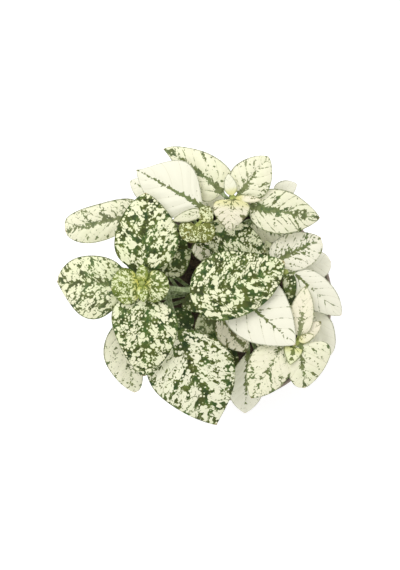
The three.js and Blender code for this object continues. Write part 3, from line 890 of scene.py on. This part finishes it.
    # painted shade, a duller green, lies over the whole blade of a leaf in shade, and the very tip
    # has dried light brown
    colour = layered(mixed(light, dark_part, pale_part), (painted_shade, LEAF_SHADE),
                     (times(step(share, 0.97, 1.0), 0.5), DRY_TIP))
    colour = mixed(under, colour, mixed(0.4, colour, LEAF_UNDER))
    skin = graph.add("Group", node_tree=plant_skin, in_Cell_size=0.0006, in_Relief=0.35,
                     in_Place=graph.add("TexCoord").outputs["Object"]).outputs
    graph.dress(shader, Base_Color=colour, Roughness=scaled(skin["Mottle"], 0.25, 0.4),
                Specular_IOR_Level=0.22, Normal=skin["Normal"])
    return material


leaf_blade = blade_material()


def grow_stem(name, foot, tip, leaves, seed):
    """Makes one leafy stem as two pieces: the stem with its stalks, and the blades."""
    rng = np.random.RandomState(seed)
    stem = Stem(foot, tip)
    nodes = [stem.at(leaf.at) for leaf in leaves]
    growth = {"points": [], "faces": []}
    add_stem(growth, stem, nodes)
    blades = {key: [] for key in ("points", "faces") + BLADE_VALUES}
    for leaf, (root, _) in zip(leaves, nodes):
        leaf.root_at(root)
        add_stalk(growth, leaf)
        add_blade(blades, leaf, rng)
    add_hairs(growth, rng)
    stalks = mesh_piece(name + "_stalks", growth["points"], growth["faces"], stalk_skin)
    below_tip = tip[2] - np.array(growth["points"])[:, 2]
    youth = stalks.data.attributes.new("stalk_youth", "FLOAT", "POINT")
    youth.data.foreach_set("value", np.clip(YOUNG_MOST - below_tip / YOUNG_REACH, 0, YOUNG_MOST))
    sheet = mesh_piece(name + "_blades", blades["points"], blades["faces"], leaf_blade)
    for key in BLADE_VALUES:
        layer = sheet.data.attributes.new("leaf_" + key, "FLOAT_VECTOR", "POINT")
        layer.data.foreach_set("vector", np.array(blades[key], float).ravel())
    for piece in (stalks, sheet):
        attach(piece, "root")
        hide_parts(name)


# the stem on the left leans furthest out and carries the largest, oldest leaves
grow_stem("leafy_stem_left", (-9, 1), (-46, 9.5, 162), [
    Leaf(161, (-46, 10, 161.5), (-45.5, 18.5, 163), 6, YOUNG, arch=1, cream=0.56),
    Leaf(161, (-46, 8.5, 161.5), (-45, 0, 163), 6, YOUNG, arch=1, cream=0.56),
    Leaf(158.5, (-47, 9, 160), (-61, 6.5, 160), 18, YOUNG, arch=1, both=(9, 0.4, 0.5), young=0.75,
         cream=0.57),
    Leaf(158.5, (-45, 8.5, 160), (-32.5, 7, 160), 16, YOUNG, arch=1, both=(8, 0.4, 0.5), young=0.5,
         cream=0.49),
    Leaf(154, (-43.5, 15.5, 158), (-44.5, 54, 153), 31.5, SPLASHED, arch=2.5, cream=0.57),
    Leaf(154, (-42.5, 1.5, 157), (-45.5, -37, 148), 31, SPLASHED, arch=3, left=(15.1, 0.45, 0.75),
         right=(17.8, 0.2, 0.7), cream=0.58),
    Leaf(146, (-53, 8.4, 150), (-89.5, 10, 140), 32.5, SPLASHED, arch=3, left=(18, 0.85, 0.95),
         right=(14.2, 0.5, 0.5), cream=0.585, rib=0.4, faded=0.12),
    Leaf(144, (-22.5, 6, 154.5), (24.5, 20, 150), 34, SPLASHED, arch=2.5, sway=-3.5, cream=0.53),
    Leaf(133, (-29, -12.5, 145), (-9, -63, 131), 43.5, SPLASHED, arch=4, left=(20.4, 1, 1.1),
         right=(23.2, 0.45, 0.85), cream=0.64, white=0.45, rib=0.5),
    Leaf(131, (-36, 14, 136), (-22.5, 26, 133), 13.5, SHADED, cream=0.6),
    Leaf(112, (-57, -9, 121), (-52.3, -48.7, 102), 19, PALE, arch=3, left=(6.5, 0.5, 0.4),
         right=(12.8, 0.7, 0.8), white=0.5, rib=0.4),
    Leaf(112, (-49, 6, 118), (-79, 8, 106), 22, SHADED, arch=3),
    Leaf(104, (-40, -6, 111), (-65, -22, 99), 22, SHADED),
    Leaf(102, (-38, 18, 110), (-61, 34, 99), 22, SHADED),
    Leaf(98, (-26, -12, 106), (-30, -38, 97), 18, SHADED),
    Leaf(122, (-40, -4, 130), (-61, -11, 121), 17, SHADED),
    Leaf(120, (-33, 13, 126), (-42, 35, 117), 17, SHADED),
    Leaf(114, (-25, -4, 119), (-32, -20, 111), 14, SHADED, cream=0.1),
], seed=1)

# the one at the back spreads two broad pale leaves
grow_stem("leafy_stem_back", (-6, 12), (-18.5, 38, 157), [
    Leaf(156, (-16, 44.5, 158), (-31, 40, 158), 6, PALE, arch=1, cream=0.95, pink=0.2, rib=0.3,
         dashes=0.6, painted_shade=0.15),
    Leaf(156, (-18, 37.5, 157), (-11.8, 30.5, 155.5), 11, YOUNG, arch=1, both=(5.5, 0.4, 0.5),
         young=0.7, cream=0.43, brown=0.25, heart=0.3),
    Leaf(156, (-19.5, 37.5, 157), (-26, 31, 156.5), 12.5, YOUNG, arch=1, both=(6.2, 0.4, 0.5),
         young=0.6, cream=0.49, brown=0.3, heart=0.35),
    Leaf(155, (-17, 40, 157.5), (-12.8, 47, 157.5), 9.5, YOUNG, arch=1, young=0.5, cream=0.62,
         brown=0.3, heart=0.25),
    Leaf(151, (-15.5, 46.5, 155.5), (-49.5, 66.5, 141), 28, WHITE, arch=2.5, left=(12.9, 0.7, 0.9),
         right=(15.3, 1.3, 1.4), rib=1, painted_shade=0.07),
    Leaf(146, (-13.5, 36, 148), (15.5, 25.5, 141), 21, SPLASHED, arch=2, cream=0.62, white=0.2),
    Leaf(143, (-18, 31, 148), (-13.5, 19.5, 140), 11, SPLASHED, cream=0.56, white=0.6, pink=0.3),
    Leaf(126, (-48, 44.4, 136), (-87.5, 36.5, 118), 19, PALE, arch=4, left=(9.4, 0.6, 0.45),
         right=(9.8, 0.15, 0.22), cream=0.8, rib=0.9, dashes=0.55, faded=0.35),
    Leaf(116, (-36, 53, 126), (-54, 62.5, 117), 14.5, WHITE),
    # painted light: more and whiter cream on this leaf makes up for the shade it lies in
    Leaf(117, (-12, 44, 127), (-19, 73, 113), 20, PALE, cream=1, white=1, rib=0.3),
    Leaf(104, (-26, 48, 113), (-44, 60, 103), 18, SHADED),
    Leaf(97, (-24, 27, 104), (-48, 30, 95), 18, SHADED),
], seed=2)

# its neighbour carries cream leaves round a pinkish young one
grow_stem("leafy_stem_back_right", (2, 14), (-1.3, 51.5, 159), [
    Leaf(158, (-1.8, 52.5, 159), (-3.8, 63, 160), 6.5, WHITE, arch=0.5, young=0.2, rib=0, heart=0.6),
    Leaf(158, (0, 51, 159), (13, 50, 159.5), 4, PALE, arch=0.5, cream=1, young=0.3, pink=0.5, rib=0,
         heart=0.7, brown=0.5),
    Leaf(156, (-2, 50.3, 160), (-3, 35, 154), 18.5, PALE, arch=1.5, both=(9.2, 0.3, 0.85), cream=0.87,
         pink=0.4, rib=0.3, dashes=0.6, heart=0.5, brown=0.4),
    Leaf(150, (-6.5, 54, 150), (-36, 77, 138), 21.5, PALE, arch=2, sway=-1.5, left=(10.3, 0.3, 1.1),
         right=(11.3, 0.2, 0.65), cream=0.89, rib=0.65, dashes=0.62),
    Leaf(153, (1.7, 53, 157), (16.5, 72, 152), 20.5, PALE, arch=1.5, cream=0.9, rib=0.55, dashes=0.68),
    Leaf(149, (7, 47, 154), (42.5, 42, 144), 22.5, PALE, arch=2.5, left=(11, 0.45, 0.8), cream=0.9,
         rib=1, dashes=0.8),
    Leaf(128, (20.5, 54.5, 136), (32.2, 60.2, 128), 9.5, WHITE, rib=0.2),
    Leaf(114, (16, 44, 123), (40, 41, 113), 19, SHADED),
    Leaf(110, (1, 58, 118), (15, 68, 108), 16, SHADED),
    Leaf(99, (10, 42, 108), (27, 55, 98), 17, SHADED),
    # painted light: more and whiter cream on this leaf makes up for the shade it lies in
    Leaf(122, (9, 41, 131), (26, 33, 122), 16, PALE, cream=1.1, white=0.8),
], seed=3)

# three lower stems fill the rest; the right one has pale leaves with green dashes
grow_stem("leafy_stem_right", (12, 6), (25.5, 15, 145), [
    Leaf(144, (26.5, 14.5, 144.5), (29, 1, 139), 7, SHADED, arch=1, cream=0.5),
    Leaf(140, (18.5, 19, 143), (43.5, 32.5, 137), 20, PALE, arch=2, right=(10, 0.45, 0.4), white=0.9,
         cream=0.81, dashes=0.8),
    Leaf(140, (30, 14, 141), (54.5, -7, 132), 18.5, WHITE, arch=2, left=(8.8, 0.5, 0.7),
         right=(8.5, 0.45, 0.75), rib=0.35, dashes=0.6),
    Leaf(134, (20.5, 19, 136), (16, 31, 136), 8, SHADED, cream=0.8),
    Leaf(122, (29.5, 15, 130), (50.2, 20.5, 121), 16, WHITE, left=(8.2, 0.5, 0.45), right=(8, 0.5, 0.5),
         rib=0.3),
    Leaf(111, (27, 22, 118), (44, 31, 109), 18, SHADED),
    Leaf(106, (24, 0, 114), (44, 2, 104), 18, SHADED),
], seed=4)

# the one at the front right ends in small pinkish leaves
grow_stem("leafy_stem_front_right", (12, -8), (31, -20.5, 146), [
    Leaf(144, (29.5, -22.5, 145.5), (27.5, -31.5, 146), 9.5, YOUNG, arch=0.5, both=(4.8, 0.15, 0.8),
         young=0.3, cream=1.1, rib=0.6, dashes=0.4, heart=0.5),
    Leaf(145, (32, -19.5, 146.5), (39.5, -16.5, 147), 5, YOUNG, arch=0.5, young=0.2, cream=0.95,
         pink=0.5, heart=0.4, brown=0.5),
    Leaf(144, (33, -18.5, 144), (43.5, -10, 141), 8, PALE, arch=1, cream=1, pink=0.5, rib=0.2,
         brown=0.5),
    Leaf(143, (32, -17, 145), (35.5, 8, 144.5), 12.5, PALE, arch=0.5, cream=0.88, pink=0.4, rib=0.5,
         brown=0.2, faded=0.45),
    Leaf(141, (32.5, -20.6, 145), (35.5, -43.7, 137), 23, PALE, arch=2, left=(15, 0.2, 0.7),
         right=(8, 0.4, 0.4), cream=0.9, rib=0.6),
    Leaf(140, (23.5, -22, 143), (8.5, -49, 135), 22, PALE, arch=2.5, cream=0.78, pink=0.2, rib=0.3),
    Leaf(120, (40, -5.5, 131), (49.6, -28.3, 121), 15, WHITE, arch=2, left=(7.4, 0.45, 0.6),
         right=(8, 0.45, 0.75), rib=0.2, dashes=0.1),
    Leaf(108, (30, -28, 116), (38, -42, 105), 18, SHADED),
    Leaf(100, (34, -10, 105), (50, -6, 95), 17, SHADED),
    Leaf(116, (22, -26, 121), (22, -41, 111), 14, SHADED),
    Leaf(117, (32, -21, 123), (48, -27, 112), 15, SHADED),
], seed=5)

# the one in the middle carries the large white leaf
grow_stem("leafy_stem_centre", (2, 0), (-3, 6, 143), [
    Leaf(142, (-4.5, 8, 143.5), (-11, 13, 144), 7, YOUNG, arch=0.5),
    Leaf(142, (-2, 8, 143.5), (3.5, 15, 144), 7, YOUNG, arch=0.5),
    Leaf(139, (-1.5, 6, 144.5), (30, -21.5, 148.5), 33, WHITE, arch=1.5, left=(17.3, 0.45, 0.9),
         right=(15.7, 0.45, 0.9), rib=0.8, dashes=0.65),
    # painted light: more and whiter cream on this leaf makes up for the shade it lies in
    Leaf(130, (-6.5, -7.5, 133), (6.5, -26, 126), 16.5, PALE, cream=0.75, white=0.8, pink=0.3,
         brown=0.3),
    Leaf(128, (-9, -8, 130), (-20, -15, 125), 12.5, SHADED, cream=0.5, painted_shade=0.4),
    Leaf(122, (-12, 3, 127), (-27, -3, 121), 13, SHADED),
    Leaf(122, (14, -14.5, 130), (16, -27, 124), 9, PALE),
    Leaf(108, (7.5, -25.5, 122), (6.3, -59.5, 104), 18, WHITE, arch=3, left=(8.8, 1.1, 0.8),
         right=(9.6, 1.1, 0.8), painted_shade=0.1, rib=0.7),
    Leaf(103, (-4, -22, 111), (-14, -47, 99), 21, SHADED),
    Leaf(99, (12, -26, 108), (20, -44, 98), 17, SHADED),
    Leaf(112, (7, 9, 119), (10.5, 24, 112), 10, SHADED),
    Leaf(110, (-8, -12, 120), (-20, -27, 112), 14, SHADED),
], seed=6)

# ---- floor, light and camera ----
# A white studio table under an even white sky with one large soft lamp above the back left. The
# camera looks straight down from 750 mm above the pot's rim.
FLOOR_SIZE = 20
TABLE_WHITE = (0.93, 0.93, 0.93, 1)
WHITE_LIGHT = (1, 1, 1, 1)
SKY_STRENGTH = 0.92
LAMP_PLACE = (-0.5, 0.7, 1.25)
LAMP_AIM = (-0.02, 0.01, 0.12)
LAMP_SIZE = 0.9
LAMP_WATTS = 7
CAMERA_PLACE = (-0.0175, 0.0084, 0.84)
CAMERA_LENS = 87.7
FILM = 36


def make_floor():
    mesh = bpy.data.meshes.new("floor")
    h = FLOOR_SIZE / 2
    mesh.from_pydata([(-h, -h, 0), (h, -h, 0), (h, h, 0), (-h, h, 0)], [], [(0, 1, 2, 3)])
    material, graph, shader = new_material("white_table")
    graph.dress(shader, Base_Color=TABLE_WHITE, Roughness=0.9, Specular_IOR_Level=0.1,
                Emission_Color=WHITE_LIGHT, Emission_Strength=0.3)
    mesh.materials.append(material)
    floor = bpy.data.objects.new("floor", mesh)
    bpy.context.scene.collection.objects.link(floor)
    return floor


make_floor()

scene = bpy.context.scene
scene.view_settings.view_transform = "Standard"
world = bpy.data.worlds.new("studio")
world.use_nodes = True
sky = world.node_tree.nodes["Background"]
sky.inputs["Color"].default_value = WHITE_LIGHT
sky.inputs["Strength"].default_value = SKY_STRENGTH
scene.world = world

lamp = bpy.data.lights.new("soft_lamp", "AREA")
lamp.shape = "DISK"
lamp.size = LAMP_SIZE
lamp.energy = LAMP_WATTS
lamp_holder = bpy.data.objects.new("soft_lamp", lamp)
lamp_holder.location = LAMP_PLACE
aim = Vector(LAMP_AIM) - lamp_holder.location
lamp_holder.rotation_euler = aim.to_track_quat("-Z", "Y").to_euler()
scene.collection.objects.link(lamp_holder)

camera = bpy.data.cameras.new("camera")
camera.sensor_fit = "VERTICAL"
camera.sensor_height = FILM
camera.sensor_width = FILM
camera.lens = CAMERA_LENS
camera.clip_start = 0.01
camera_holder = bpy.data.objects.new("camera", camera)
camera_holder.location = CAMERA_PLACE
scene.collection.objects.link(camera_holder)
scene.camera = camera_holder
